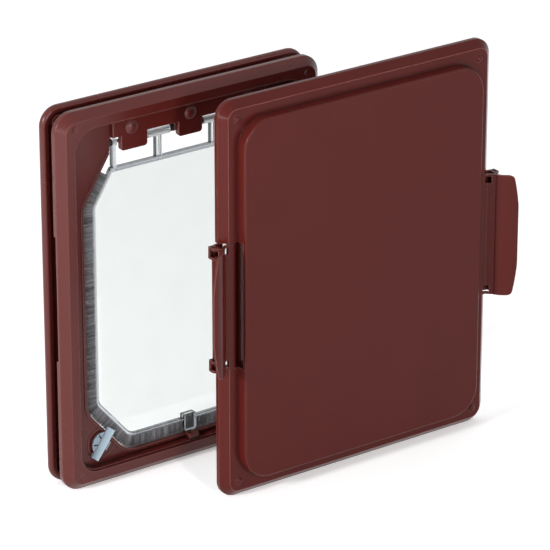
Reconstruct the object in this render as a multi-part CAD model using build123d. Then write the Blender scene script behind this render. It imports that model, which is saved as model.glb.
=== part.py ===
"""Dog door for a house door leaf.

Two flanges clamp a door leaf between them. The inner one carries a clear flap
in an eight-sided opening, and a closing panel with two side clips stands in front.
All lengths are in millimetres: x to the right, the room side toward minus y, z up.
The origin is the centre of the four clamp screw holes, on the leaf's inside face.
"""
import math
import os

from build123d import *

os.makedirs("parts", exist_ok=True)

# Both flanges and the door leaf between them
flange_width = 340.0
flange_height = 440.0
flange_corner = 22.0
wall = 2.6
leaf_gap = 18.0
slide_gap = 0.4
run_gap = 0.05
seat_gap = 0.1
edge_soft = 1.2

# Inner flange: bevelled border, stepped recess and relieved rim for the clip lips
rim_side = 5.6
bevel = 9.0
recess_inset = 19.5
recess_corner_top = 29.0
recess_corner_low = 22.0
ledge_width = 2.0
ledge_depth = 2.5
lip_relief = 3.2

# Clamp screws through the corners
screw_inset_x = 20.0
screw_inset_z = 17.0
screw_hole_r = 2.25
screw_boss_wall = 2.6
screw_hole_depth = 9.0
dimple_r = 4.0
dimple_floor_r = 2.0
dimple_depth = 0.6
sink_r = 4.6
sink_depth = 3.0

# Eight-sided opening with a bead and a lip behind it
opening_side = 35.0
opening_sill = 27.0
opening_head = 40.0
low_cut_x = 50.0
low_cut_z = 59.0
high_cut_x = 35.0
high_cut_z = 56.0
shoulder_rise = 17.0
opening_corner = 30.0
shoulder_corner = 12.0
head_corner = 4.0
bead_width = 3.0
bead_height = 1.2
lip_depth = 10.0

# Telescoping sleeves
sleeve_side = 4.0
sleeve_sill = 7.0
sleeve_head = 13.0
sleeve_corner = 8.0
inner_sleeve_depth = 20.0
outer_sleeve_reach = 12.0

# Outer flange
outer_depth = 10.0
outer_round = 4.6

# Hinge along the head of the opening
hinge_drop = 8.5
hinge_set = 5.0
rod_r = 2.0
rod_end_gap = 0.4
barrel_wall = 3.2
stem_x = 35.5
stem_width = 7.5
stem_edge = 1.4
stem_edge_depth = 6.0
barrel_length = 27.0
end_barrel_length = 4.6
end_arm_width = 4.6
bush_r = 4.2
mid_bush_length = 5.2
end_bush_length = 4.6
bush_play = 0.3
cheek_thick = 3.0
cheek_r = 4.6
outer_cheek_gap = 3.6

# Hinge cover
cover_side_gap = 1.0
cover_top_gap = 1.0
cover_drop = 17.0
cover_depth = 6.0
cover_wall = 2.5
cover_corner = 4.0
notch_bush_gap = 6.5
notch_side_gap = 6.0
notch_rise = 8.5
end_notch_gap = 1.4
dome_spacing = 75.0
dome_r = 7.5
dome_height = 3.2
dome_top_gap = 9.5
cover_screw_r = 1.4
cover_boss_r = 3.6
cover_screw_reach = 4.6
cover_head_r = 3.0
cover_head_thick = 1.8
cover_head_bevel = 0.6
cover_hole_gap = 0.3

# Clear flap and the brush round it
flap_thick = 3.0
stem_length = 28.5
rib_height = 5.0
rib_thick = 7.0
rim_width = 4.5
rim_thick = 6.0
rim_soft = 1.2
seal_gap = 0.8
seal_width = 12.5
seal_thick = 7.0
tab_width = 12.0
tab_thick = 2.5
tab_short = 1.0
brush_break = 1.0

# Magnet catch at the sill
pocket_width = 16.0
pocket_height = 19.5
pocket_thick = 10.0
pocket_wall = 2.5
pocket_floor = 2.0
pocket_corner = 4.0
pocket_clear = 1.5
flap_magnet_height = 9.0
plug_height = 3.0
sill_half = 6.5
sill_proud = 8.0
sill_wall = 1.4
sill_side_wall = 2.0
sill_cap_thick = 2.0
sill_soft = 1.0

# Turn locks
lock_angle = 54.0
lock_reach = 13.0
lock_lift = 1.7
lock_disc_r = 13.5
lock_disc_thick = 2.5
lock_bar_length = 38.0
lock_bar_width = 10.5
lock_bar_side = 3.0
lock_bar_ridge = 9.3
lock_slot_length = 6.0
lock_slot_width = 1.6
lock_slot_r = 9.8
lock_slot_turn = 32.0
lock_tab_length = 10.0
lock_tab_width = 3.5
lock_tab_thick = 2.0
lock_collar_r = 6.5
lock_shaft_r = 4.0
lock_shaft_end = 1.0
lock_ring_r = 7.5
lock_ring_thick = 1.6
lock_rim_r = 18.0
lock_rim_width = 1.2
lock_rim_height = 0.8

# Closing panel, standing in front of the flange
panel_overlap = 10.0
panel_corner = 20.0
panel_skirt = 5.0
panel_bevel = 8.5
panel_border = 20.0
panel_field_rise = 12.0
panel_field_corner = 34.0
panel_slope = 9.0
panel_field_soft = 2.4
panel_shift = 141.0
panel_stand_off = 110.0
panel_dome_inset = 20.0
panel_dome_r = 4.6
panel_dome_height = 2.8

# Side clips of the panel, in distances outward from its edge and forward of its outline
clip_length = 144.0
clip_play = 1.0
clip_drop = 1.0
clip_thick = 2.6
clip_barrel_r = 5.0
clip_pin_r = 1.5
clip_pin_inset = 14.5
clip_pin_front = 3.6
clip_pin_seat = 2.0
clip_cave_depth = 25.5
clip_cave_roof = 4.0
clip_bend_in = 4.0
clip_joint_out = 2.7
clip_joint_front = 13.7
clip_blade_out = 23.4
clip_blade_front = 27.7
clip_blade_hollow = 3.5
clip_blade_bow = 8.4
clip_blade_corner = 6.0
clip_cheek_out = 6.0
clip_cheek_front = 7.0
clip_lip_in = 7.5
clip_lip_back = 3.6
clip_ear_height = 13.0
clip_ear_bulge = 4.6
clip_window = 8.0
clip_window_frame = 2.5
clip_window_low = 3.0
clip_window_high = 11.6

# Places that follow from the sizes above
half_width = flange_width / 2
half_height = flange_height / 2
frame_depth = rim_side + bevel
floor_y = -wall
opening_half = half_width - opening_side
opening_low = opening_sill - half_height
opening_high = half_height - opening_head
shoulder_half = opening_half - high_cut_x
shoulder_low = opening_high - shoulder_rise
lip_back = floor_y + lip_depth
hinge_y = floor_y + hinge_set
hinge_z = opening_high - hinge_drop
barrel_r = rod_r + barrel_wall
bore_r = rod_r + run_gap
rib_top = hinge_z - stem_length
rib_low = rib_top - rib_height
sheet_inset = seal_gap + seal_width
sheet_low = opening_low + sheet_inset
sleeve_half = opening_half + sleeve_side
sleeve_low = opening_low - sleeve_sill
sleeve_high = opening_high + sleeve_head
sleeve_step = wall + slide_gap
outer_front = leaf_gap
outer_back = leaf_gap + outer_depth
screw_x = half_width - screw_inset_x
screw_z = half_height - screw_inset_z
screw_boss_r = screw_hole_r + screw_boss_wall
recess_high = half_height - recess_inset - ledge_width
recess_low = recess_inset + ledge_width - half_height
cover_half = shoulder_half - cover_side_gap
cover_high = recess_high - cover_top_gap
cover_low = opening_high - cover_drop
cover_front = floor_y - cover_depth
notch_top = hinge_z + notch_rise
notch_in = stem_x - barrel_length / 2 - notch_bush_gap
notch_out = stem_x + barrel_length / 2 + notch_side_gap
end_barrel_out = shoulder_half - end_bush_length - 2 * bush_play
end_barrel_in = end_barrel_out - end_barrel_length
end_arm_x = end_barrel_out - end_arm_width / 2
end_notch_x = end_barrel_in - end_notch_gap
dome_z = cover_high - dome_top_gap
mid_bush_out = stem_x - barrel_length / 2 - bush_play
mid_bush_in = mid_bush_out - mid_bush_length
cheek_out = mid_bush_in - bush_play
far_cheek_in = stem_x + barrel_length / 2 + outer_cheek_gap
low_cut_mid = (opening_half - low_cut_x / 2, opening_low + low_cut_z / 2)
low_cut_turn = math.degrees(math.atan2(low_cut_z, low_cut_x))
pocket_low = opening_low + pocket_clear
pocket_high = pocket_low + pocket_height
flap_magnet_low = pocket_low + pocket_floor
sill_back = lip_back
rim_back = hinge_y + rim_thick / 2
tab_front = rim_back - tab_thick
sill_front = floor_y - sill_proud
lock_x = -low_cut_mid[0] - lock_reach * math.cos(math.radians(lock_angle))
lock_z = low_cut_mid[1] - lock_reach * math.sin(math.radians(lock_angle))
lock_back = floor_y - lock_lift
panel_width = flange_width + 2 * panel_overlap
panel_height = flange_height + 2 * panel_overlap
panel_y = -rim_side - panel_stand_off
panel_z = panel_height / 2 - half_height
clip_z = -clip_drop
notch_half = clip_length / 2 + clip_play
lip_relief_z = panel_z + clip_z


def slab(sketch, front, back):
    """Extrude a sketch drawn in x and z from depth front to depth back."""
    return extrude(Plane.XZ.offset(-back) * sketch, back - front)


def block(x_span, y_span, z_span):
    """Box between two limits on each axis."""
    spans = [sorted(span) for span in (x_span, y_span, z_span)]
    middle = [(low + high) / 2 for low, high in spans]
    size = [high - low for low, high in spans]
    return Pos(*middle) * Box(*size)


def patch(x_span, z_span):
    """Flat rectangle between two limits in x and z."""
    x_low, x_high = sorted(x_span)
    z_low, z_high = sorted(z_span)
    return Pos((x_low + x_high) / 2, (z_low + z_high) / 2) * Rectangle(x_high - x_low, z_high - z_low)


def cross_rod(x_span, y, z, radius):
    """Round bar along x."""
    low, high = sorted(x_span)
    return Pos((low + high) / 2, y, z) * Rot(0, 90, 0) * Cylinder(radius, high - low)


def deep_rod(x, z, y_span, radius):
    """Round bar along y."""
    low, high = sorted(y_span)
    return Pos(x, (low + high) / 2, z) * Rot(90, 0, 0) * Cylinder(radius, high - low)


def upright_rod(x, y, z_span, radius):
    """Round bar along z."""
    low, high = sorted(z_span)
    return Pos(x, y, (low + high) / 2) * Cylinder(radius, high - low)


def mirrored(shape):
    """The same shape on the other side of the middle."""
    return mirror(shape, about=Plane.YZ)


def both_sides(shape):
    """The shape and its mirror image, joined."""
    return shape + mirrored(shape)


def dome(x, face_y, z, radius, height):
    """Low round cap turned about its own axis, standing forward of a face and rooted in it."""
    ball_r = (radius ** 2 + height ** 2) / (2 * height)
    half_turn = math.asin(radius / ball_r) / 2
    middle = (ball_r * math.sin(half_turn), ball_r * (1 - math.cos(half_turn)) - height)
    crown = ThreePointArc((0, -height), middle, (radius, 0))
    root = wall / 4
    foot = Polyline((radius, 0), (radius, root), (0, root), (0, -height))
    cap = revolve(make_face(crown.edges() + foot.edges()), Axis.Y)
    return Pos(x, face_y, z) * cap


def edges_at_depth(shape, depth):
    """Edges that lie in one plane of constant y."""
    near = 0.01
    return shape.edges().filter_by(lambda edge: all(abs(v.Y - depth) < near for v in edge.vertices()))


def bevelled_block(width, height, corner, front, back, cut):
    """Rounded rectangle between two depths with its front edge bevelled."""
    body = slab(RectangleRounded(width, height, corner), front, back)
    return chamfer(body.faces().sort_by(Axis.Y)[0].edges(), cut)


def inner_bevel(cut, inset):
    """Bevel of a form whose walls are moved inward by the same distance everywhere."""
    return cut - (2 - math.sqrt(2)) * inset


def recess_outline(inset):
    """Edge of the recess moved inward, with larger corners at the top."""
    shrink = 2 * (recess_inset + inset)
    edge = Rectangle(flange_width - shrink, flange_height - shrink)
    edge = fillet(edge.vertices().group_by(Axis.Y)[-1], recess_corner_top - inset)
    return fillet(edge.vertices().group_by(Axis.Y)[0], recess_corner_low - inset)


def opening_points():
    """Corners of the opening, counterclockwise from the lower right."""
    right = [
        (opening_half - low_cut_x, opening_low),
        (opening_half, opening_low + low_cut_z),
        (opening_half, shoulder_low - high_cut_z),
        (shoulder_half, shoulder_low),
        (shoulder_half, opening_high),
    ]
    left = [(-x, z) for x, z in reversed(right)]
    return right + left


def moved_corners(points, inset):
    """Move every side of a closed outline inward and meet the sides again."""
    moved = []
    for index, point in enumerate(points):
        here = Vector(*point)
        before = (here - Vector(*points[index - 1])).normalized().rotate(Axis.Z, 90)
        after = (Vector(*points[(index + 1) % len(points)]) - here).normalized().rotate(Axis.Z, 90)
        moved.append(here + (before + after) * (inset / (1 + before.dot(after))))
    return [(corner.X, corner.Y) for corner in moved]


def opening_outline(inset):
    """Outline of the opening moved inward, with rounded corners."""
    points = moved_corners(opening_points(), inset)
    face = make_face(Polyline(*points, close=True))
    head = opening_high - inset
    turn = shoulder_low - high_cut_z / 2
    lower = face.vertices().filter_by(lambda vertex: vertex.Y < turn)
    face = fillet(lower, max(opening_corner - inset, head_corner))
    shoulder = face.vertices().filter_by(lambda vertex: turn < vertex.Y < head - edge_soft)
    face = fillet(shoulder, max(shoulder_corner - inset, head_corner))
    return fillet(face.vertices().group_by(Axis.Y)[-1], max(head_corner - inset, edge_soft))


def below(z):
    """Everything under one height, as a wide patch."""
    return patch((-flange_width, flange_width), (-flange_height, z))


def sleeve_outline(grow):
    """Rectangle of the sleeve, grown outward."""
    high = sleeve_high + grow
    low = sleeve_low - grow
    plan = RectangleRounded(2 * (sleeve_half + grow), high - low, sleeve_corner + grow)
    return Pos(0, (high + low) / 2) * plan


def at_screws(maker):
    """One shape at each clamp screw, joined."""
    corners = [(x, z) for x in (-screw_x, screw_x) for z in (-screw_z, screw_z)]
    shapes = [maker(x, z) for x, z in corners]
    return shapes[0] + shapes[1:]


def chamfer_frame(side):
    """Place at the middle of a lower slanted side, with local x along it and local y inward."""
    x, z = low_cut_mid
    if side > 0:
        return Pos(x, z) * Rot(0, 0, low_cut_turn)
    return Pos(-x, z) * Rot(0, 0, -low_cut_turn)


def inner_shell():
    """Bevelled flange, hollow toward the leaf, with the recess tray in it."""
    outer = bevelled_block(flange_width, flange_height, flange_corner, -frame_depth, 0, bevel)
    outer = fillet(edges_at_depth(outer, -frame_depth) + edges_at_depth(outer, -rim_side), edge_soft)
    hollow = bevelled_block(
        flange_width - 2 * wall,
        flange_height - 2 * wall,
        flange_corner - wall,
        wall - frame_depth,
        0,
        inner_bevel(bevel, wall),
    )
    tray = slab(recess_outline(-wall), wall / 2 - frame_depth, 0)
    shell = outer - hollow + tray
    shell -= slab(recess_outline(0), -frame_depth, ledge_depth - frame_depth)
    return shell - slab(recess_outline(ledge_width), -frame_depth, floor_y)


def hinge_cheek(x_low):
    """Plate that hangs from the head of the opening and carries the rod."""
    plan = Pos(hinge_y, hinge_z) * Circle(cheek_r)
    top = opening_high + wall / 2
    plan += patch((hinge_y - cheek_r, hinge_y + cheek_r), (hinge_z, top))
    return extrude(Plane.YZ.offset(x_low) * plan, cheek_thick)


def sill_block():
    """Housing of the sill magnet, from the opening's edge down to the foot of the recess."""
    front = block((-sill_half, sill_half), (sill_front, floor_y), (recess_low, opening_low))
    front = fillet(edges_at_depth(front, sill_front), sill_soft)
    rear = block((-sill_half, sill_half), (floor_y, sill_back), (sleeve_low, opening_low))
    return front + rear


def sill_cavity(front, back, gap):
    """Space of the sill magnet between two depths, with a gap taken off all round."""
    half = sill_half - sill_side_wall - gap
    low = recess_low + sill_wall / 2 + gap
    high = opening_low - sill_wall - gap
    return block((-half, half), (front, back), (low, high))


def lock_rim(side):
    """Low round edge on the recess floor round a turn lock."""
    ring = Circle(lock_rim_r) - Circle(lock_rim_r - lock_rim_width)
    return slab(Pos(-side * lock_x, lock_z) * ring, floor_y - lock_rim_height, floor_y + wall / 2)


def opening_bead():
    """Plate whose edge is left standing as a low band round the opening, up to the hinge cover."""
    plan = opening_outline(-bead_width) & below(cover_low - slide_gap)
    return slab(plan, floor_y - bead_height, floor_y + wall / 2)


def dimple(x, z):
    """Shallow round hollow in the front of the flange, before a clamp screw."""
    hollow = Rot(-90, 0, 0) * Cone(dimple_r, dimple_floor_r, dimple_depth)
    return Pos(x, dimple_depth / 2 - frame_depth, z) * hollow


def make_inner_frame():
    """One moulding: flange, recess, opening with bead and lip, sleeve, cheeks and sill block."""
    body = inner_shell()
    for side in (-1, 1):
        body += lock_rim(side)
    body += slab(opening_outline(-wall), floor_y, lip_back)
    body += at_screws(lambda x, z: deep_rod(x, z, (wall / 2 - frame_depth, 0), screw_boss_r))
    body += opening_bead()
    body -= slab(opening_outline(0), -frame_depth, lip_back)
    body += slab(sleeve_outline(wall) - sleeve_outline(0), floor_y, inner_sleeve_depth)
    body += both_sides(hinge_cheek(cheek_out - cheek_thick) + hinge_cheek(far_cheek_in))
    body += sill_block()
    body -= sill_cavity(sill_front + sill_side_wall, sill_back, 0)
    rod_seat = shoulder_half + 2 * wall
    rod_space = block((-rod_seat, rod_seat), (floor_y, lip_back), (shoulder_low, opening_high))
    body -= cross_rod((-half_width, half_width), hinge_y, hinge_z, bore_r) & rod_space
    body -= at_screws(lambda x, z: deep_rod(x, z, (-screw_hole_depth, 0), screw_hole_r))
    body -= at_screws(dimple)
    for x in (-dome_spacing, 0, dome_spacing):
        body -= deep_rod(x, dome_z, (floor_y, 0), cover_screw_r + cover_hole_gap)
    for side in (-1, 1):
        body -= deep_rod(side * lock_x, lock_z, (floor_y, 0), lock_shaft_r + run_gap)
    relief = block(
        (-half_width - wall, -half_width + 2 * wall),
        (-lip_relief, wall),
        (lip_relief_z - notch_half, lip_relief_z + notch_half),
    )
    return body - both_sides(relief)


def make_outer_frame():
    """One moulding: rounded flange, hollow toward the leaf, with the outer sleeve."""
    plan = RectangleRounded(flange_width, flange_height, flange_corner)
    body = slab(plan, outer_front, outer_back)
    body = fillet(edges_at_depth(body, outer_front) + edges_at_depth(body, outer_back), outer_round)
    rim = outer_round + wall
    hollow = RectangleRounded(flange_width - 2 * rim, flange_height - 2 * rim, flange_corner - rim)
    body -= slab(hollow - sleeve_outline(sleeve_step + wall), outer_front, outer_back - wall)
    body += at_screws(lambda x, z: deep_rod(x, z, (outer_front, outer_back - wall / 2), sink_r + wall))
    body += slab(sleeve_outline(sleeve_step + wall), outer_sleeve_reach - wall, outer_back - wall)
    body -= slab(sleeve_outline(sleeve_step), outer_sleeve_reach - wall, outer_back)
    body -= at_screws(lambda x, z: deep_rod(x, z, (outer_front, outer_back), screw_hole_r))
    return body - at_screws(lambda x, z: deep_rod(x, z, (outer_back - sink_depth, outer_back), sink_r))


def cover_outline(inset):
    """Front view of the hinge cover moved inward, with its four notches."""
    half = cover_half - inset
    face = patch((-half, half), (cover_low + inset, cover_high - inset))
    mid_notch = patch((notch_in - inset, notch_out + inset), (cover_low - wall, notch_top + inset))
    end_notch = patch((end_notch_x - inset, cover_half + wall), (cover_low - wall, notch_top + inset))
    for notch in (mid_notch, end_notch):
        face -= notch
        face -= mirror(notch, about=Plane.YZ)
    return fillet(face.vertices().group_by(Axis.Y)[0], cover_corner - inset)


def at_domes(maker):
    """One shape at each dome of the hinge cover, joined."""
    shapes = [maker(x) for x in (-dome_spacing, 0, dome_spacing)]
    return shapes[0] + shapes[1:]


def make_hinge_cover():
    """Shallow shell over the hinge with three domes and a screw boss behind each."""
    body = slab(cover_outline(0), cover_front, floor_y)
    body = fillet(edges_at_depth(body, cover_front), edge_soft)
    body -= slab(cover_outline(cover_wall), cover_front + cover_wall, floor_y)
    body += at_domes(lambda x: dome(x, cover_front, dome_z, dome_r, dome_height))
    body += at_domes(lambda x: deep_rod(x, dome_z, (cover_front + cover_wall / 2, floor_y), cover_boss_r))
    bore_end = floor_y - cover_screw_reach
    return body - at_domes(lambda x: deep_rod(x, dome_z, (bore_end, floor_y), cover_screw_r + run_gap))


def make_cover_screws():
    """Pan head screws that come through the recess floor into the cover's bosses."""
    screws = []
    for x in (-dome_spacing, 0, dome_spacing):
        shank = deep_rod(x, dome_z, (floor_y - cover_screw_reach + seat_gap, 0), cover_screw_r)
        head = deep_rod(x, dome_z, (0, cover_head_thick), cover_head_r)
        head = chamfer(edges_at_depth(head, cover_head_thick), cover_head_bevel)
        screws.append(shank + head)
    return Compound(screws)


def make_hinge_rod():
    """Steel rod between the walls of the lip."""
    end = shoulder_half + wall - rod_end_gap
    return cross_rod((-end, end), hinge_y, hinge_z, rod_r)


def bush(x_low, length):
    """Ring on the rod."""
    ring = cross_rod((x_low, x_low + length), hinge_y, hinge_z, bush_r)
    return ring - cross_rod((x_low, x_low + length), hinge_y, hinge_z, bore_r)


def make_hinge_bushes():
    """Two bushes inside the barrels and two at the ends of the rod."""
    right = [bush(mid_bush_in, mid_bush_length), bush(end_barrel_out + bush_play, end_bush_length)]
    return Compound(right + [mirrored(ring) for ring in right])


def flap_outline(inset):
    """Outline of the flap's sheet moved inward, cut off level at the rib."""
    return opening_outline(sheet_inset + inset) & below(rib_top)


def centred_slab(sketch, thick):
    """Slab that lies evenly on both sides of the hinge's plane."""
    return slab(sketch, hinge_y - thick / 2, hinge_y + thick / 2)


def hinge_stem():
    """Stem with thick edges and the long barrel above it, on the right."""
    low = rib_low
    stem = centred_slab(patch((stem_x - stem_width / 2, stem_x + stem_width / 2), (low, hinge_z)), flap_thick)
    for side in (-1, 1):
        edge = stem_x + side * (stem_width - stem_edge) / 2
        sides = (edge - stem_edge / 2, edge + stem_edge / 2)
        stem += centred_slab(patch(sides, (low, hinge_z)), stem_edge_depth)
    ends = (stem_x - barrel_length / 2, stem_x + barrel_length / 2)
    return stem + cross_rod(ends, hinge_y, hinge_z, barrel_r)


def end_arm():
    """Arm and short barrel at the flap's end, on the right."""
    sides = (end_arm_x - end_arm_width / 2, end_arm_x + end_arm_width / 2)
    arm = centred_slab(patch(sides, (rib_low, hinge_z)), rim_thick)
    return arm + cross_rod((end_barrel_in, end_barrel_out), hinge_y, hinge_z, barrel_r)


def striker_plan(side, grow):
    """Front view of the tab behind the brush, under the tip of a turn lock."""
    reach = seal_width - tab_short + rim_width
    tab = Rectangle(tab_width + 2 * grow, reach + 2 * grow)
    return chamfer_frame(side) * Pos(0, sheet_inset + rim_width - reach / 2) * tab


def softened(sketch, thick):
    """Slab on the hinge's plane with its front and back edges chamfered."""
    body = centred_slab(sketch, thick)
    edges = edges_at_depth(body, hinge_y - thick / 2) + edges_at_depth(body, hinge_y + thick / 2)
    return chamfer(edges, rim_soft)


def catch_pocket():
    """Rounded pocket for the flap's magnet, open at the top."""
    plan = patch((-pocket_width / 2, pocket_width / 2), (pocket_low, pocket_high))
    plan = fillet(plan.vertices().group_by(Axis.Y)[0], pocket_corner)
    return centred_slab(plan, pocket_thick)


def pocket_space(low, high, gap):
    """Space inside the catch pocket between two heights, with a gap taken off all round."""
    half = pocket_width / 2 - pocket_wall - gap
    deep = pocket_thick / 2 - pocket_wall - gap
    return block((-half, half), (hinge_y - deep, hinge_y + deep), (low, high))


def make_flap_panel():
    """Clear moulding: sheet, rim, top rib, stems and barrels, catch pocket and striker tabs."""
    body = centred_slab(flap_outline(0), flap_thick)
    body += softened(flap_outline(0) - flap_outline(rim_width), rim_thick)
    body += softened(flap_outline(0) - below(rib_low), rib_thick)
    body += both_sides(hinge_stem() + end_arm())
    for side in (-1, 1):
        body += slab(striker_plan(side, 0), tab_front, rim_back)
    body += catch_pocket()
    body -= pocket_space(flap_magnet_low, pocket_high, 0)
    return body - cross_rod((-half_width, half_width), hinge_y, hinge_z, bore_r)


def make_brushes():
    """The two brush strips by name, each with a pocket behind for a striker tab."""
    band = (opening_outline(seal_gap) - opening_outline(sheet_inset)) & below(rib_top)
    half = pocket_width / 2 + brush_break
    band -= patch((-half, half), (opening_low, sheet_low + seal_width))
    body = centred_slab(band, seal_thick)
    for side in (-1, 1):
        body -= slab(striker_plan(side, brush_break), tab_front - brush_break, hinge_y + seal_thick)
    left, right = body.solids().sort_by(Axis.X)
    return {"brush_left": left, "brush_right": right}


def lock_place():
    """Place and turn of the left lock."""
    return Pos(lock_x, 0, lock_z) * Rot(0, -lock_angle, 0)


def lock_bar():
    """Ridged finger bar of a turn lock, along local x."""
    half = lock_bar_width / 2
    side = lock_back - lock_bar_side
    ridge = lock_back - lock_bar_ridge
    corners = [(lock_back, -half), (lock_back, half), (side, half), (ridge, 0), (side, -half)]
    section = Polyline(*corners, close=True)
    bar = extrude(Plane.YZ.offset(-lock_bar_length / 2) * make_face(section), lock_bar_length)
    return fillet(bar.edges().filter_by(Axis.X).sort_by(Axis.Y)[:1], edge_soft / 2)


def make_lock_knob():
    """Left turn lock: half disc with slots, finger bar, step, collar and shaft."""
    half_disc = Circle(lock_disc_r) & patch((-lock_disc_r, lock_disc_r), (0, lock_disc_r))
    for turn in (90 - lock_slot_turn, 90 + lock_slot_turn):
        slot = SlotOverall(lock_slot_length, lock_slot_width)
        half_disc -= Rot(0, 0, turn) * Pos(lock_slot_r, 0) * slot
    knob = slab(half_disc, lock_back - lock_disc_thick, lock_back)
    low = -lock_bar_width / 2 - lock_tab_width
    step = patch((-lock_tab_length / 2, lock_tab_length / 2), (low, 0))
    knob += slab(step, lock_back - lock_tab_thick, lock_back)
    knob += lock_bar()
    knob += deep_rod(0, 0, (lock_back - lock_disc_thick, floor_y), lock_collar_r)
    knob += deep_rod(0, 0, (floor_y, lock_ring_thick + lock_shaft_end), lock_shaft_r)
    return lock_place() * knob


def make_lock_retainer():
    """Push-on ring behind the recess floor."""
    ring = deep_rod(0, 0, (0, lock_ring_thick), lock_ring_r)
    ring -= deep_rod(0, 0, (0, lock_ring_thick), lock_shaft_r + run_gap)
    return lock_place() * ring


def panel_solid(inset):
    """Filled form of the closing panel with every wall moved inward."""
    width = panel_width - 2 * inset
    height = panel_height - 2 * inset
    cut = inner_bevel(panel_bevel, inset)
    front = inset - panel_bevel
    body = bevelled_block(width, height, panel_corner - inset, front, panel_skirt, cut)
    step = panel_border + inset * math.tan(math.radians((90 - panel_slope) / 2))
    plan = RectangleRounded(panel_width - 2 * step, panel_height - 2 * step, panel_field_corner)
    return body + extrude(Plane.XZ.offset(-front) * plan, panel_field_rise, taper=panel_slope)


def clip_space(depth, front, back, grow):
    """Block in the panel's left side, to a depth inward, grown inward and lengthwise."""
    half = notch_half + grow
    return block(
        (-panel_width / 2 - wall, depth + grow - panel_width / 2),
        (front, back),
        (clip_z - half, clip_z + half),
    )


def clip_pin_place(radius, seat):
    """Bar on the left clip's axis, with its ends let into the notch walls."""
    half = notch_half + seat
    x = clip_pin_inset - panel_width / 2
    return upright_rod(x, -clip_pin_front, (clip_z - half, clip_z + half), radius)


def place_panel():
    """Place of the closing panel in front of the flange."""
    return Pos(panel_shift, panel_y, panel_z)


def make_closing_panel():
    """Hollow moulding with a raised field, corner domes and a notch for a clip on each side."""
    outer = panel_solid(0)
    top = -panel_bevel - panel_field_rise
    outer = fillet(edges_at_depth(outer, top), panel_field_soft)
    outer = fillet(edges_at_depth(outer, 0), edge_soft)
    hollow = panel_solid(wall)
    front = top - wall
    back = panel_skirt + wall
    body = outer - hollow
    body += outer & both_sides(clip_space(clip_cave_depth, front, back, wall))
    body -= both_sides(clip_space(clip_cave_depth, top + clip_cave_roof, panel_skirt - wall, 0))
    body -= both_sides(clip_space(panel_border, front, back, 0))
    body -= both_sides(clip_pin_place(clip_pin_r + run_gap, clip_pin_seat))
    x = panel_width / 2 - panel_dome_inset
    z = panel_height / 2 - panel_dome_inset
    for dome_x in (-x, x):
        for dome_up in (-z, z):
            body += dome(dome_x, -panel_bevel, dome_up, panel_dome_r, panel_dome_height)
    return place_panel() * body


def clip_point(out, front):
    """Section point of the left clip from its distance outward and forward."""
    return (-panel_width / 2 - out, -front)


def strip(points):
    """Thin section with round ends along a chain of points."""
    section = None
    for start, end in zip(points, points[1:]):
        run = Vector(*end) - Vector(*start)
        turn = math.degrees(math.atan2(run.Y, run.X))
        middle = (Vector(*start) + Vector(*end)) / 2
        piece = Pos(middle.X, middle.Y) * Rot(0, 0, turn) * SlotCenterToCenter(run.length, clip_thick)
        section = piece if section is None else section + piece
    return section


def clip_bar(section, low, high):
    """Extrude a clip section between two heights."""
    return extrude(Plane.XY.offset(low) * section, high - low)


def clip_blade(low, high):
    """Curved finger blade whose free edge bows outward."""
    start = Vector(*clip_point(clip_joint_out, clip_joint_front))
    end = Vector(*clip_point(clip_blade_out, clip_blade_front))
    inward = (end - start).normalized().rotate(Axis.Z, 90)
    middle = (start + end) / 2 + inward * clip_blade_hollow
    blade = clip_bar(SlotArc(ThreePointArc(start, middle, end), clip_thick), low, high)
    root = -panel_width / 2
    tip = root - clip_blade_out - clip_thick
    shoulder = tip + clip_blade_bow
    line = Polyline((shoulder, high), (root, high), (root, low), (shoulder, low))
    bow = ThreePointArc((shoulder, low), (tip, (low + high) / 2), (shoulder, high))
    plan = make_face([line.edges(), bow.edge()])
    plan = fillet(plan.vertices().group_by(Axis.X)[0], clip_blade_corner)
    return blade & slab(plan, -clip_blade_front - panel_skirt, 0)


def make_clip():
    """Left clip: barrel, arm, blade, cheek with lip, and an ear with a window at each end."""
    low = clip_z - clip_length / 2
    high = clip_z + clip_length / 2
    pin = clip_point(-clip_pin_inset, clip_pin_front)
    arm_front = clip_pin_front + clip_barrel_r - clip_thick / 2
    arm = [clip_point(-clip_pin_inset, arm_front), clip_point(-clip_bend_in, arm_front)]
    joint = clip_point(clip_joint_out, clip_joint_front)
    cheek_end = clip_point(clip_cheek_out, 0)
    lip_end = clip_point(-clip_lip_in, -clip_lip_back)
    section = Pos(*pin) * Circle(clip_barrel_r)
    section += strip(arm + [joint, clip_point(clip_cheek_out, clip_cheek_front), cheek_end, lip_end])
    body = clip_bar(section, low, high) + clip_blade(low, high)
    bulge = clip_cheek_out + clip_ear_bulge
    ear = strip([joint, clip_point(bulge, clip_cheek_front), clip_point(bulge, 0), cheek_end])
    body += clip_bar(ear, low, low + clip_ear_height)
    body += clip_bar(ear, high - clip_ear_height, high)
    inner = clip_pin_inset - clip_barrel_r - clip_thick / 2 - panel_width / 2
    for start in (low + clip_window_frame, high - clip_window_frame - clip_window):
        body -= block(
            (-panel_width / 2 - bulge - clip_thick, inner),
            (-clip_window_high, -clip_window_low),
            (start, start + clip_window),
        )
    body -= clip_pin_place(clip_pin_r + run_gap, clip_pin_seat)
    return body


def make_clip_pins():
    """Steel pins of both clips."""
    pin = clip_pin_place(clip_pin_r, clip_pin_seat)
    return Compound([place_panel() * pin, place_panel() * mirrored(pin)])


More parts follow.
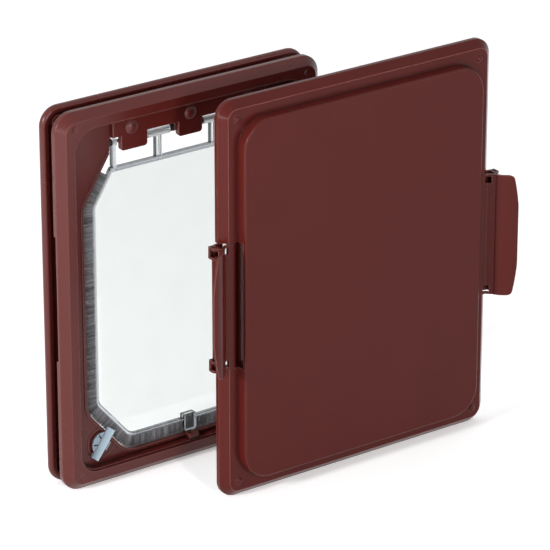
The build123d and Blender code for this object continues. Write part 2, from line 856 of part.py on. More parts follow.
def make_parts():
    """Every piece by its node name."""
    knob = make_lock_knob()
    retainer = make_lock_retainer()
    clip = make_clip()
    pieces = {
        "inner_frame": make_inner_frame(),
        "outer_frame": make_outer_frame(),
        "hinge_cover": make_hinge_cover(),
        "hinge_cover_screws": make_cover_screws(),
        "hinge_rod": make_hinge_rod(),
        "hinge_bushes": make_hinge_bushes(),
        "sill_magnet": sill_cavity(sill_front + sill_side_wall, sill_back - sill_cap_thick, seat_gap),
        "sill_magnet_cap": sill_cavity(sill_back - sill_cap_thick, sill_back, seat_gap),
        "flap_panel": make_flap_panel(),
        "flap_magnet": pocket_space(flap_magnet_low, flap_magnet_low + flap_magnet_height, seat_gap),
        "flap_magnet_plug": pocket_space(
            flap_magnet_low + flap_magnet_height, flap_magnet_low + flap_magnet_height + plug_height, seat_gap
        ),
        "lock_knob_left": knob,
        "lock_retainer_left": retainer,
        "lock_knob_right": mirrored(knob),
        "lock_retainer_right": mirrored(retainer),
        "closing_panel": make_closing_panel(),
        "clip_left": place_panel() * clip,
        "clip_right": place_panel() * mirrored(clip),
        "clip_pins": make_clip_pins(),
    }
    pieces.update(make_brushes())
    return pieces


for node, shape in make_parts().items():
    export_step(shape, "parts/" + node + ".step")
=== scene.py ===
# %% [markdown]
# A dog door stands before us in two groups: the clamp frame with its clear flap, and the
# closing panel in front of it. The solid pieces arrive ready made and fixed in place. They
# could be modelled again here, but a second set would soon differ from the solids that move
# and collide, so this lesson gives the ready-made ones their finishes, grows the brush round
# the flap, and sets up a bright product shot. We first load the pieces and measure their box.

# %% Load the fixed frame and measure it
import math

import bpy
import numpy as np
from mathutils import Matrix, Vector


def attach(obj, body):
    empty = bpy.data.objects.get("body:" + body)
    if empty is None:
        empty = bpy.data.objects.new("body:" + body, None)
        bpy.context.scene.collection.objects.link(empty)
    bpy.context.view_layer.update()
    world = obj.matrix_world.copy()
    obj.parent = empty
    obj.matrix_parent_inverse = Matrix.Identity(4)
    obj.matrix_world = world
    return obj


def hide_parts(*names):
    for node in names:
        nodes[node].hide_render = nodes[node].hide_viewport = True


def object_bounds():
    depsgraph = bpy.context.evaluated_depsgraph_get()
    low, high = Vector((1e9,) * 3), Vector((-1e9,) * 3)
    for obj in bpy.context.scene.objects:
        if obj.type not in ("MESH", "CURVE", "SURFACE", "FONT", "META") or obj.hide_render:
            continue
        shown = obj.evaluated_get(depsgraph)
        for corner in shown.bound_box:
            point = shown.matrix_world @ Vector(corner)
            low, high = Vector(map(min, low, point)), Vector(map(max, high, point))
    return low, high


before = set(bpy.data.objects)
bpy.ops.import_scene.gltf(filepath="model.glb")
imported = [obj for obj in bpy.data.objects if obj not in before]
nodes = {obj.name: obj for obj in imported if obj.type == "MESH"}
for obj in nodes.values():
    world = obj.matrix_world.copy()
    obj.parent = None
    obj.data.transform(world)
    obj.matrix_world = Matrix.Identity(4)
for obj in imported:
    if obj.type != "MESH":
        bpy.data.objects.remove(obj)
cad_low, cad_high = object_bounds()
floor_z = cad_low.z
print("pieces", len(nodes), "box", [round(v, 3) for v in (*cad_low, *cad_high)])

# %% [markdown]
# Finishes are small node graphs. They could be joined by hand in the node editor, but as code
# they can be read from top to bottom and used again with other numbers. Short helpers keep
# the wiring readable: they give a socket its source, add a node, place noise, stretch a
# value, do a sum and blend two colours. The last four return a socket, ready for the next step.

# %% Helpers for single nodes
def feed(tree, target, source):
    """Give an input socket its source: another socket to join, or a plain number or colour."""
    if isinstance(source, bpy.types.NodeSocket):
        tree.links.new(source, target)
    elif target.type == "RGBA":
        target.default_value = (*source, 1)
    else:
        target.default_value = source


def put(tree, kind, **values):
    """Add a node and set its own properties or, by their titles, its input sockets."""
    node = tree.nodes.new(kind)
    for name, value in values.items():
        if hasattr(node, name):
            setattr(node, name, value)
        else:
            feed(tree, node.inputs[name.replace("_", " ").title()], value)
    return node


def wire(tree, *pairs):
    """Join output sockets to input sockets, pair by pair."""
    for source, target in pairs:
        tree.links.new(source, target)


def noise(tree, place, **values):
    """Soft random values at a place, which is a socket of coordinates."""
    return put(tree, "ShaderNodeTexNoise", vector=place, **values).outputs["Fac"]


def remap(tree, value, **limits):
    """Stretch a value from one range to another and hold it at the ends."""
    return put(tree, "ShaderNodeMapRange", value=value, **limits).outputs["Result"]


def calc(tree, operation, *terms, clamp=False):
    """Do one sum with up to three terms, each a socket or a plain number."""
    node = put(tree, "ShaderNodeMath", operation=operation, use_clamp=clamp)
    for target, term in zip(node.inputs, terms):
        feed(tree, target, term)
    return node.outputs["Value"]


def color_mix(tree, first, second, share):
    """Blend two colours by a share; each of the three is a socket or a plain value."""
    node = put(tree, "ShaderNodeMix", data_type="RGBA")
    for index, source in ((6, first), (7, second), (0, share)):
        feed(tree, node.inputs[index], source)
    return node.outputs[2]


print("node helpers ready")

# %% [markdown]
# A material holds one shader, and what several materials share goes into a node group: a
# graph with named inputs and outputs, built once and placed wherever it is wanted. Copying
# the nodes into each material would work too, but then every later change is made many times.

# %% Helpers for materials and groups
def new_finish(name, index=1.5, shine=0.5, **values):
    """Start a material; its shader gets an index, a specular level and other plain values."""
    material = bpy.data.materials.new(name)
    material.use_nodes = True
    shader = material.node_tree.nodes["Principled BSDF"]
    shader.inputs["IOR"].default_value = index
    shader.inputs["Specular IOR Level"].default_value = shine
    for title, value in values.items():
        shader.inputs[title.replace("_", " ").title()].default_value = value
    return material, material.node_tree, shader


def new_group(name, inputs, outputs):
    """Start a shader node group from lists of (socket name, kind, default)."""
    group = bpy.data.node_groups.new(name, "ShaderNodeTree")
    for socket, kind, default in inputs:
        made = group.interface.new_socket(socket, in_out="INPUT", socket_type="NodeSocket" + kind)
        made.default_value = default
    for socket, kind in outputs:
        group.interface.new_socket(socket, in_out="OUTPUT", socket_type="NodeSocket" + kind)
    return group, put(group, "NodeGroupInput"), put(group, "NodeGroupOutput")


def use_group(tree, group, **values):
    """Place a node group in a material and set its inputs."""
    node = tree.nodes.new("ShaderNodeGroup")
    node.node_tree = group
    for title, value in values.items():
        feed(tree, node.inputs[title.replace("_", " ").title()], value)
    return node


print("material helpers ready")

# %% [markdown]
# Moulded plastic is never quite one colour. The pigment flows in broad soft clouds, the
# tool leaves a fine grain, and the gloss wanders with the clouds. A picture of plastic could
# be wrapped round each piece, but noise needs no unwrapping and has no seams. One group makes
# all three from noise at two scales, so every plastic on the door shares it.

# %% Shared effect: moulded skin
skin, skin_in, skin_out = new_group(
    "moulded_skin",
    [
        ("Base", "Color", (0.5, 0.5, 0.5, 1)),
        ("Shade", "Color", (0.4, 0.4, 0.4, 1)),
        ("Grain Scale", "Float", 1100.0),
        ("Gloss Low", "Float", 0.35),
        ("Gloss High", "Float", 0.5),
    ],
    [("Color", "Color"), ("Roughness", "Float"), ("Height", "Float")],
)
skin_place = put(skin, "ShaderNodeTexCoord").outputs["Object"]
cloud = noise(skin, skin_place, scale=14.0, detail=3.0, roughness=0.55)
grain = noise(skin, skin_place, scale=skin_in.outputs["Grain Scale"], detail=2.0, roughness=0.5)
skin_tone = remap(skin, cloud, from_min=0.3, from_max=0.7)
skin_color = color_mix(skin, skin_in.outputs["Base"], skin_in.outputs["Shade"], skin_tone)
skin_gloss = remap(
    skin, cloud, from_min=0.35, from_max=0.65,
    to_min=skin_in.outputs["Gloss Low"], to_max=skin_in.outputs["Gloss High"],
)
wire(
    skin,
    (skin_color, skin_out.inputs["Color"]),
    (skin_gloss, skin_out.inputs["Roughness"]),
    (grain, skin_out.inputs["Height"]),
)
print("group", skin.name, "with", len(skin.nodes), "nodes")

# %% [markdown]
# Real mouldings have softened edges that catch the light and rub a little paler with use.
# Here the paler edge colour also stands for a painted highlight, and creases and hollow
# corners are darkened with painted shade. Wear could be painted on by hand, piece by piece;
# here the shape itself tells where it goes. The Bevel node rounds the shading normal across
# a sharp edge, and where that turns away from the flat normal there is an edge. Ambient
# Occlusion tells hollow corners from outer ones, so only outer edges go paler.

# %% Shared effect: soft edges, paler from use and as painted highlight, with painted shade in creases
edge_wear_and_shade, edge_wear_and_shade_in, edge_wear_and_shade_out = new_group(
    "worn_and_highlit_edges",
    [("Radius", "Float", 0.0008), ("Amount", "Float", 0.5), ("Reach", "Float", 0.004)],
    [("Mask", "Float"), ("Crease", "Float"), ("Normal", "Vector")],
)
soft_normal = put(edge_wear_and_shade, "ShaderNodeBevel", samples=4, radius=edge_wear_and_shade_in.outputs["Radius"]).outputs["Normal"]
flat_normal = put(edge_wear_and_shade, "ShaderNodeNewGeometry").outputs["Normal"]
agree = put(edge_wear_and_shade, "ShaderNodeVectorMath", operation="DOT_PRODUCT")
wire(edge_wear_and_shade, (soft_normal, agree.inputs[0]), (flat_normal, agree.inputs[1]))
turned = remap(edge_wear_and_shade, agree.outputs["Value"], from_min=0.995, from_max=0.9)
shelter = put(edge_wear_and_shade, "ShaderNodeAmbientOcclusion", samples=4, only_local=True,
              distance=edge_wear_and_shade_in.outputs["Reach"]).outputs["AO"]
outer = remap(edge_wear_and_shade, shelter, from_min=0.8, from_max=0.97)
# Painted shade: this mask darkens creases and hollow corners, read from the occlusion
crease_shade_mask = remap(edge_wear_and_shade, shelter, from_min=0.9, from_max=0.45)
edge_patch_place = put(edge_wear_and_shade, "ShaderNodeTexCoord").outputs["Object"]
edge_patch_noise = noise(edge_wear_and_shade, edge_patch_place, scale=160.0, detail=3.0)
patches = remap(edge_wear_and_shade, edge_patch_noise, from_min=0.1, from_max=0.5)
outer_edge = calc(edge_wear_and_shade, "MULTIPLY", turned, outer)
patchy_edge = calc(edge_wear_and_shade, "MULTIPLY", outer_edge, patches)
# The paler outer edges stand partly for use and partly for a painted highlight
wear_and_highlight_mask = calc(edge_wear_and_shade, "MULTIPLY", patchy_edge, edge_wear_and_shade_in.outputs["Amount"])
wire(
    edge_wear_and_shade,
    (wear_and_highlight_mask, edge_wear_and_shade_out.inputs["Mask"]),
    (crease_shade_mask, edge_wear_and_shade_out.inputs["Crease"]),
    (soft_normal, edge_wear_and_shade_out.inputs["Normal"]),
)
print("group", edge_wear_and_shade.name, "with", len(edge_wear_and_shade.nodes), "nodes")

# %% [markdown]
# A trace of dust settles on faces that look upward. Grains of dust would be far too many to
# model, so a mask does it: the group reads how far a surface faces up and breaks that with
# noise. It reads the piece's own normal and not the world's, so the dust stays on the same
# faces when a piece swings.

# %% Shared effect: settled dust
dust, dust_in, dust_out = new_group("settled_dust", [("Amount", "Float", 0.1)], [("Mask", "Float")])
dust_place = put(dust, "ShaderNodeTexCoord")
dust_parts = put(dust, "ShaderNodeSeparateXYZ", vector=dust_place.outputs["Normal"])
facing_up = remap(dust, dust_parts.outputs["Z"], from_min=0.55, from_max=1.0)
dust_noise = noise(dust, dust_place.outputs["Object"], scale=55.0, detail=5.0, roughness=0.65)
dust_spots = remap(dust, dust_noise, from_min=0.4, from_max=0.7)
dust_film = calc(dust, "MULTIPLY", facing_up, dust_spots)
dust_mask = calc(dust, "MULTIPLY", dust_film, dust_in.outputs["Amount"])
wire(dust, (dust_mask, dust_out.inputs["Mask"]))
print("group", dust.name, "with", len(dust.nodes), "nodes")

# %% [markdown]
# Frames, cover, panel and clips are red-brown satin plastic; the frames shine a little
# more than the panel. One flat colour would look like a drawing, so the colour comes from
# the moulded skin, outer edges are paler, partly from use and partly as painted highlight,
# creases are darker with painted shade, and a fine bump gives the satin its grain. The same
# recipe with other numbers makes every plastic, so it is a function.

# %% A recipe for opaque moulded plastic
dust_color, dust_amount = (0.42, 0.38, 0.35), 0.012
# How far outer edges go paler, partly from use and partly as painted highlight
wear_and_highlight_amount = 0.9
grain_scale, grain_depth = 1200.0, 0.0002


def plastic(name, base, shade, wear_and_highlight_color, crease_shade_color, gloss_range, edge_radius, bump, shine):
    """Skin colour, mixed toward a paler colour on edges, from use and as painted highlight, toward a painted
    shade in creases, and dust on top.
    """
    material, tree, shader = new_finish(name, shine=shine)
    cover = use_group(tree, skin, base=base, shade=shade, grain_scale=grain_scale,
                      gloss_low=gloss_range[0], gloss_high=gloss_range[1])
    edge = use_group(tree, edge_wear_and_shade, radius=edge_radius, amount=wear_and_highlight_amount)
    film = use_group(tree, dust, amount=dust_amount)
    # Outer edges go paler, from use and as painted highlight, and creases take a painted shade
    wear_and_highlight_mixed = color_mix(tree, cover.outputs["Color"], wear_and_highlight_color, edge.outputs["Mask"])
    crease_shaded_color = color_mix(tree, wear_and_highlight_mixed, crease_shade_color, edge.outputs["Crease"])
    dusted = color_mix(tree, crease_shaded_color, dust_color, film.outputs["Mask"])
    raised = put(tree, "ShaderNodeBump", strength=bump, distance=grain_depth)
    wire(
        tree,
        (dusted, shader.inputs["Base Color"]),
        (cover.outputs["Roughness"], shader.inputs["Roughness"]),
        (cover.outputs["Height"], raised.inputs["Height"]),
        (edge.outputs["Normal"], raised.inputs["Normal"]),
        (raised.outputs["Normal"], shader.inputs["Normal"]),
    )
    print("plastic", name)
    return material


print("plastic recipe ready")

# %% [markdown]
# Four plastics come from the recipe: two red-browns, the pale blue-grey of the turn locks and
# the black of the small hidden bushes and rings. The browns could be one material, but the
# panel is a flatter satin than the frames, so each has its own gloss.

# %% The four opaque plastics
# Pale brown for outer edges, from use and as painted highlight; near black for painted shade in creases
wear_and_highlight_brown, crease_shade_brown = (0.40, 0.155, 0.135), (0.016, 0.0035, 0.0035)
panel_brown = plastic(
    "panel_plastic", base=(0.080, 0.0100, 0.0078), shade=(0.074, 0.0092, 0.0072),
    wear_and_highlight_color=wear_and_highlight_brown, crease_shade_color=crease_shade_brown,
    gloss_range=(0.20, 0.26), edge_radius=0.0011, bump=0.06, shine=0.15,
)
frame_brown = plastic(
    "frame_plastic", base=(0.086, 0.0112, 0.0090), shade=(0.080, 0.0103, 0.0083),
    wear_and_highlight_color=wear_and_highlight_brown, crease_shade_color=crease_shade_brown,
    gloss_range=(0.26, 0.34), edge_radius=0.0011, bump=0.06, shine=0.36,
)
lock_grey = plastic(
    "lock_plastic", base=(0.30, 0.38, 0.445), shade=(0.275, 0.35, 0.41),
    wear_and_highlight_color=(0.70, 0.79, 0.85), crease_shade_color=(0.05, 0.06, 0.08),
    gloss_range=(0.34, 0.44), edge_radius=0.0008, bump=0.06, shine=0.3,
)
bush_black = plastic(
    "black_plastic", base=(0.012, 0.012, 0.013), shade=(0.018, 0.018, 0.02),
    wear_and_highlight_color=(0.06, 0.06, 0.065), crease_shade_color=(0.004, 0.004, 0.004),
    gloss_range=(0.35, 0.5), edge_radius=0.0004, bump=0.08, shine=0.4,
)
print("opaque plastics ready")

# %% [markdown]
# The flap is clear plastic about three millimetres thick. A see-through mix is the quick way
# to show it, but the flap is a real slab with two faces, so glass-like transmission with the
# right index bends light properly. Its parts don't look alike: the rim, rib and stems are
# thicker and greyer, the catch at the foot is darker, the barrels on the rod are frosted, and
# edges that are turned away from front and back get a dark tint of painted shade. Each gets
# a mask, made from the place on the flap in metres or from the way that the surface faces.

# %% Masks for the parts of the clear flap
sheet_mid, sheet_half = 0.0024, 0.0015
thick_start, thick_full = 0.0001, 0.0004
catch_half, catch_side_fade = 0.0105, 0.001
catch_top, catch_top_fade = -0.155, 0.005
barrel_low, barrel_fade = 0.1665, 0.001

clear, clear_tree, clear_shader = new_finish("clear_plastic", index=1.47, transmission_weight=1.0)
clear_place = put(clear_tree, "ShaderNodeTexCoord")
clear_parts = put(clear_tree, "ShaderNodeSeparateXYZ", vector=clear_place.outputs["Object"])
clear_x, clear_y, clear_z = clear_parts.outputs
off_middle = calc(clear_tree, "SUBTRACT", clear_y, sheet_mid)
away = calc(clear_tree, "ABSOLUTE", off_middle)
thick_mask = remap(clear_tree, away, from_min=sheet_half + thick_start, from_max=sheet_half + thick_full)
across = calc(clear_tree, "ABSOLUTE", clear_x)
catch_side = remap(clear_tree, across, from_min=catch_half, from_max=catch_half - catch_side_fade)
catch_foot = remap(clear_tree, clear_z, from_min=catch_top, from_max=catch_top - catch_top_fade)
catch_mask = calc(clear_tree, "MULTIPLY", catch_side, catch_foot)
barrel_mask = remap(clear_tree, clear_z, from_min=barrel_low, from_max=barrel_low + barrel_fade)
clear_turn = put(clear_tree, "ShaderNodeSeparateXYZ", vector=clear_place.outputs["Normal"])
facing = calc(clear_tree, "ABSOLUTE", clear_turn.outputs["Y"])
# Painted shade: faces turned sideways to the sheet get a dark tint through this mask
side_shade_mask = remap(clear_tree, facing, from_min=0.92, from_max=0.55)
print("clear flap: sheet", round(2000 * sheet_half, 1), "mm thick, four masks")

# %% [markdown]
# With the masks ready, the tint is built up in layers: first the sheet with a faint uneven
# haze, then the thick parts, the catch, the painted shade on the sideways edges and the
# barrels over it. Roughness is added up the same way, and a very shallow ripple keeps the
# sheet from being a perfect window, which moulded plastic never is.

# %% Tint, gloss and ripple of the clear flap
thick_rough, barrel_rough = 0.14, 0.45
haze = noise(clear_tree, clear_place.outputs["Object"], scale=40.0, detail=4.0)
haze_tint = color_mix(clear_tree, (0.87, 0.905, 0.895), (0.82, 0.86, 0.845), haze)
thick_color = color_mix(clear_tree, (0.56, 0.59, 0.62), (0.26, 0.28, 0.30), catch_mask)
thick_tint = color_mix(clear_tree, haze_tint, thick_color, thick_mask)
# Painted shade: the dark tint on the sideways faces
side_shaded_tint = color_mix(clear_tree, thick_tint, (0.11, 0.12, 0.135), side_shade_mask)
clear_tint = color_mix(clear_tree, side_shaded_tint, (0.95, 0.97, 0.98), barrel_mask)
haze_gloss = remap(clear_tree, haze, to_min=0.015, to_max=0.07)
thick_gloss = calc(clear_tree, "MULTIPLY_ADD", thick_mask, thick_rough, haze_gloss)
clear_gloss = calc(clear_tree, "MULTIPLY_ADD", barrel_mask, barrel_rough, thick_gloss)
ripple = noise(clear_tree, clear_place.outputs["Object"], scale=18.0, detail=1.0)
ripple_bump = put(clear_tree, "ShaderNodeBump", strength=0.05, distance=0.002)
wire(
    clear_tree,
    (clear_tint, clear_shader.inputs["Base Color"]),
    (clear_gloss, clear_shader.inputs["Roughness"]),
    (ripple, ripple_bump.inputs["Height"]),
    (ripple_bump.outputs["Normal"], clear_shader.inputs["Normal"]),
)
print("material", clear.name, "with", len(clear_tree.nodes), "nodes")

# %% [markdown]
# Rod, pins and screws are drawn steel with faint lengthwise streaks; the magnets are
# pressed grey ferrite with pores. Scratches and pores could be cut into the mesh, but the
# pieces are small and half hidden, so a stretched noise and a cell pattern are enough to
# keep them from looking like flat paint.

# %% Steel
streak_scale = (60.0, 1800.0, 1800.0)
steel, steel_tree, steel_shader = new_finish("drawn_steel", metallic=1.0)
steel_place = put(steel_tree, "ShaderNodeTexCoord")
stretched = put(steel_tree, "ShaderNodeMapping", vector=steel_place.outputs["Object"])
stretched.inputs["Scale"].default_value = streak_scale
streak = noise(steel_tree, stretched.outputs["Vector"], scale=1.0, detail=2.0)
steel_tone = color_mix(steel_tree, (0.56, 0.56, 0.57), (0.70, 0.70, 0.71), streak)
steel_gloss = remap(steel_tree, streak, to_min=0.22, to_max=0.42)
wire(
    steel_tree,
    (steel_tone, steel_shader.inputs["Base Color"]),
    (steel_gloss, steel_shader.inputs["Roughness"]),
)
print("material", steel.name)

# %% Ferrite
ferrite, ferrite_tree, ferrite_shader = new_finish("pressed_ferrite")
ferrite_place = put(ferrite_tree, "ShaderNodeTexCoord").outputs["Object"]
pores = put(ferrite_tree, "ShaderNodeTexVoronoi", vector=ferrite_place, scale=1500.0).outputs["Distance"]
ferrite_tone = color_mix(ferrite_tree, (0.16, 0.16, 0.17), (0.26, 0.26, 0.27), pores)
ferrite_gloss = remap(ferrite_tree, pores, to_min=0.45, to_max=0.7)
wire(
    ferrite_tree,
    (ferrite_tone, ferrite_shader.inputs["Base Color"]),
    (ferrite_gloss, ferrite_shader.inputs["Roughness"]),
)
print("material", ferrite.name)

# %% [markdown]
# Every ready-made piece now takes its finish. Materials could be set face by face, but each
# piece of the real door is moulded or drawn in one material, so we only swap the material
# in its slot, by the name of the piece.

# %% Dress the ready-made pieces
finishes = {
    frame_brown: ["inner_frame", "outer_frame", "hinge_cover", "sill_magnet_cap"],
    panel_brown: ["closing_panel", "clip_left", "clip_right"],
    lock_grey: ["lock_knob_left", "lock_knob_right"],
    bush_black: ["hinge_bushes", "lock_retainer_left", "lock_retainer_right"],
    clear: ["flap_panel", "flap_magnet_plug"],
    steel: ["hinge_rod", "hinge_cover_screws", "clip_pins"],
    ferrite: ["sill_magnet", "flap_magnet"],
}
for finish, names in finishes.items():
    for name in names:
        nodes[name].data.materials.clear()
        nodes[name].data.materials.append(finish)
print("dressed", sum(len(names) for names in finishes.values()), "pieces")

# %% [markdown]
# The grey seal is a brush: thousands of short fibres standing out from the flap's rim
# toward the frame. A smooth band would look like felt tape, so each strip is grown fibre
# by fibre. The strips follow the sides of the opening, so we first write that outline, in
# metres across and up, with its corners rounded, and a way to walk along it.

# %% Half the opening's outline, from the middle of the sill to the right shoulder
opening_half, opening_low, opening_shoulder = 0.135, -0.193, 0.163
low_cut, high_cut = (0.050, 0.059), (0.035, 0.056)
corner_round, corner_steps = 0.030, 9
path_corners = np.array([
    (0.0, opening_low),
    (opening_half - low_cut[0], opening_low),
    (opening_half, opening_low + low_cut[1]),
    (opening_half, opening_shoulder - high_cut[1]),
    (opening_half - high_cut[0], opening_shoulder),
])


def rounded_path(corners, radius, steps):
    """Each inner corner becomes an arc tangent to its two sides, joined by straight runs.

    The arc's centre lies on the line that halves the corner, at radius over the sine of the
    half angle, and the arc is its first spoke turned step by step to its last.
    """
    rows = [corners[:1]]
    for before, here, after in zip(corners, corners[1:], corners[2:]):
        back = (before - here) / np.linalg.norm(before - here)
        ahead = (after - here) / np.linalg.norm(after - here)
        half = np.arccos(np.clip(back @ ahead, -1, 1)) / 2
        centre = here + (back + ahead) / np.linalg.norm(back + ahead) * radius / np.sin(half)
        start = here + back * radius / np.tan(half) - centre
        end = here + ahead * radius / np.tan(half) - centre
        whole_turn = np.arctan2(start[0] * end[1] - start[1] * end[0], start @ end)
        turn = np.linspace(0, 1, steps) * whole_turn
        side = np.array([-start[1], start[0]])
        rows.append(centre + np.cos(turn)[:, None] * start + np.sin(turn)[:, None] * side)
    rows.append(corners[-1:])
    return np.concatenate(rows)


edge_path = rounded_path(path_corners, corner_round, corner_steps)
edge_length = np.linalg.norm(np.diff(edge_path, axis=0), axis=1).sum()
print("half path", round(edge_length, 3), "m in", len(edge_path), "points")

# %% [markdown]
# Walking along the outline gives a place and a direction for each fibre. A curve object
# could carry them, but a few sums on the points answer for all the fibres at once. The
# brush starts beside the catch pocket, ends a little below the shoulder, and makes room
# for the striker tab of the lock, so we also measure where those lie along the way.

# %% Walk along the outline, and find the brush's end and the tab
seal_top, pocket_clear = 0.143, 0.0092
tab_place, tab_clear = np.array([0.110, -0.1635]), 0.007
search_steps = 2000


def walk(points, distance):
    """Place and inward normal at a distance along a chain of points.

    The place is the start of the run that holds the distance, plus what is left of the
    distance along that run; the normal is the run's direction turned a quarter to the left.
    """
    runs = np.diff(points, axis=0)
    lengths = np.linalg.norm(runs, axis=1)
    marks = np.concatenate([[0], np.cumsum(lengths)])
    index = np.clip(np.searchsorted(marks, distance, side="right") - 1, 0, len(runs) - 1)
    share = ((distance - marks[index]) / lengths[index])[:, None]
    along = runs[index] / lengths[index][:, None]
    return points[index] + runs[index] * share, np.stack([-along[:, 1], along[:, 0]], axis=1)


high_share = high_cut[1] / math.hypot(*high_cut)
path_end = edge_length - (opening_shoulder - seal_top) / high_share
marks = np.linspace(0, edge_length, search_steps)
tab_distance = np.linalg.norm(walk(edge_path, marks)[0] - tab_place, axis=1)
tab_mark = marks[np.argmin(tab_distance)]
print("brush from", pocket_clear, "to", round(path_end, 3), "m, tab at", round(tab_mark, 3))

# %% [markdown]
# Brush fibres stand in tufts: neighbours lean the same way and share a tone. A hair system
# could grow them, but plain mesh keeps every fibre in the exported model. Each fibre is a
# thin three-sided spike, and all of them are worked out together as arrays. A random value
# that changes along the strip gives each tuft its lean and tone, and every fibre adds a
# little of its own. The generator is seeded, so the brush is the same on every run.

# %% Sizes and tones of the brush, and its tufts
# Lengths are in metres; tones run from 0 for dark to 1 for pale
seal_gap, seal_width, seal_thick = 0.0008, 0.0125, 0.007
tab_front = 0.0018
# Below one, this gathers the fibres toward the front and the back of the seal
layer_spread = 0.8
root_sink, root_scatter = 0.0006, 0.0009
tip_past, tip_scatter = 0.0002, 0.0009
lean_tuft, lean_tuft_size, lean_own = 0.0008, 0.0011, 0.0005
lift_own = 0.0003
fibre_radii = np.array([0.00017, 0.00015])
tone_middle, tone_tuft, tone_tuft_size, tone_own = 0.5, 0.17, 0.0012, 0.13
# Painted light at the root by the flap's rim, painted shade at the tip, where the frame's edge shades the
# pile
root_painted_light, tip_painted_shade = 0.14, -0.2

# Corners 0 to 2 ring the root, 3 to 5 ring the middle, and 6 is the tip
spike_faces = np.array([
    (0, 1, 4), (0, 4, 3), (1, 2, 5), (1, 5, 4), (2, 0, 3), (2, 3, 5),
    (3, 4, 6), (4, 5, 6), (5, 3, 6), (2, 1, 0),
])
spike_painted_shading = np.array([root_painted_light] * 3 + [0.0] * 3 + [tip_painted_shade])


def tuft_curve(rng, distance, spacing):
    """Random values at even steps, read in between by straight blending."""
    steps = int(np.ceil(distance.max() / spacing)) + 2
    return np.interp(distance, np.arange(steps) * spacing, rng.normal(0, 1, steps))


print("a spike has", len(spike_painted_shading), "corners and", len(spike_faces), "faces")

# %% [markdown]
# One function grows a strip. It scatters the roots along the path and through the seal's
# thickness, squeezes them in front of the striker tab, bends each fibre sideways and a
# little in depth, and wraps a three-cornered ring round root and middle. Mirroring the strip
# would turn its faces inside out, so on the right their corners run the other way round.

# %% Grow the fibres of one strip
def brush_fibres(points, start, end, side, count, seed):
    """Three-sided spikes from the rim to the frame's edge, with a tone for each corner that holds painted
    light at the root and painted shade at the tip.

    A point at share t of a fibre is root - t * length * inward normal + lean * t squared.
    The root lies on the rim's edge, and lean is sideways along the path and in depth.
    """
    rng = np.random.default_rng(seed)
    distance = rng.uniform(start, end, count)
    place, inward = walk(points, distance)
    layer = rng.beta(layer_spread, layer_spread, count) - 0.5
    seal_front = sheet_mid - seal_thick / 2
    before_tab = seal_front + (tab_front - seal_front) * (layer + 0.5)
    near_tab = np.abs(distance - tab_mark) < tab_clear
    depth = np.where(near_tab, before_tab, sheet_mid + seal_thick * layer)

    root_in = seal_gap + seal_width + root_sink - root_scatter * rng.random(count)
    root = place + inward * root_in[:, None]
    length = seal_width + seal_gap + tip_past - tip_scatter * rng.random(count) ** 2
    sway = lean_tuft * tuft_curve(rng, distance, lean_tuft_size) + rng.normal(0, lean_own, count)
    lift = rng.normal(0, lift_own, count) * (1 - 2 * np.abs(layer))
    along = np.stack([inward[:, 1], -inward[:, 0]], axis=1)
    shares = np.array([0.0, 0.5, 1.0])
    flat = (root[:, None] - inward[:, None] * (length[:, None] * shares)[..., None]
            + along[:, None] * (sway[:, None] * shares ** 2)[..., None])
    depths = depth[:, None] + lift[:, None] * shares ** 2
    spine = np.stack([flat[..., 0] * side, depths, flat[..., 1]], axis=-1)

    spin = rng.uniform(0, 2 * np.pi, count)[:, None] + np.arange(3) * 2 * np.pi / 3
    level = np.stack([along[:, 0] * side, np.zeros(count), along[:, 1]], axis=-1)
    depth_way = np.array([0.0, 1.0, 0.0])
    ring = np.cos(spin)[..., None] * level[:, None] + np.sin(spin)[..., None] * depth_way
    rings = spine[:, :2, None] + ring[:, None] * fibre_radii[None, :, None, None]
    corners = np.concatenate([rings.reshape(count, 6, 3), spine[:, 2:]], axis=1)
    faces = spike_faces if side < 0 else spike_faces[:, ::-1]
    triangles = faces[None] + len(spike_painted_shading) * np.arange(count)[:, None, None]

    fibre_tone = (tone_middle + tone_tuft * tuft_curve(rng, distance, tone_tuft_size)
                  + tone_own * rng.normal(0, 1, count))
    tone = np.clip(fibre_tone[:, None] + spike_painted_shading, 0, 1)
    return corners.reshape(-1, 3), triangles.reshape(-1, 3), tone.ravel()


print("fibres for", round((path_end - pocket_clear) * 1000), "mm a side")

# %% [markdown]
# The pile is a dull grey nylon. Noise in the material could vary its colour, but noise knows
# nothing of the tufts. The tone is stored on the fibres themselves instead, so the colour
# follows every tuft from any side; it also holds painted light at the roots and painted shade
# at the tips, and a small sheen stands for the light in the fluff.

# %% Pile finish
pile_dark, pile_pale = (0.028, 0.027, 0.030, 1), (0.34, 0.335, 0.35, 1)
pile, pile_tree, pile_shader = new_finish("grey_pile", roughness=0.75, sheen_weight=0.2, sheen_roughness=0.5)
pile_tone = put(pile_tree, "ShaderNodeAttribute", attribute_name="fibre_tone")
pile_color = put(pile_tree, "ShaderNodeValToRGB")
pile_color.color_ramp.elements[0].color = pile_dark
pile_color.color_ramp.elements[1].color = pile_pale
wire(
    pile_tree,
    (pile_tone.outputs["Fac"], pile_color.inputs["Fac"]),
    (pile_color.outputs["Color"], pile_shader.inputs["Base Color"]),
)
print("material", pile.name)

# %% [markdown]
# The two strips now become meshes, one on each side of the catch. They could be one object,
# but the brush parts at the catch, and each strip stands in for its own plain solid. Both
# ride on the flap, so they swing with it.

# %% The two brush strips
fibre_spacing = 0.000035
fibre_count = int((path_end - pocket_clear) / fibre_spacing)


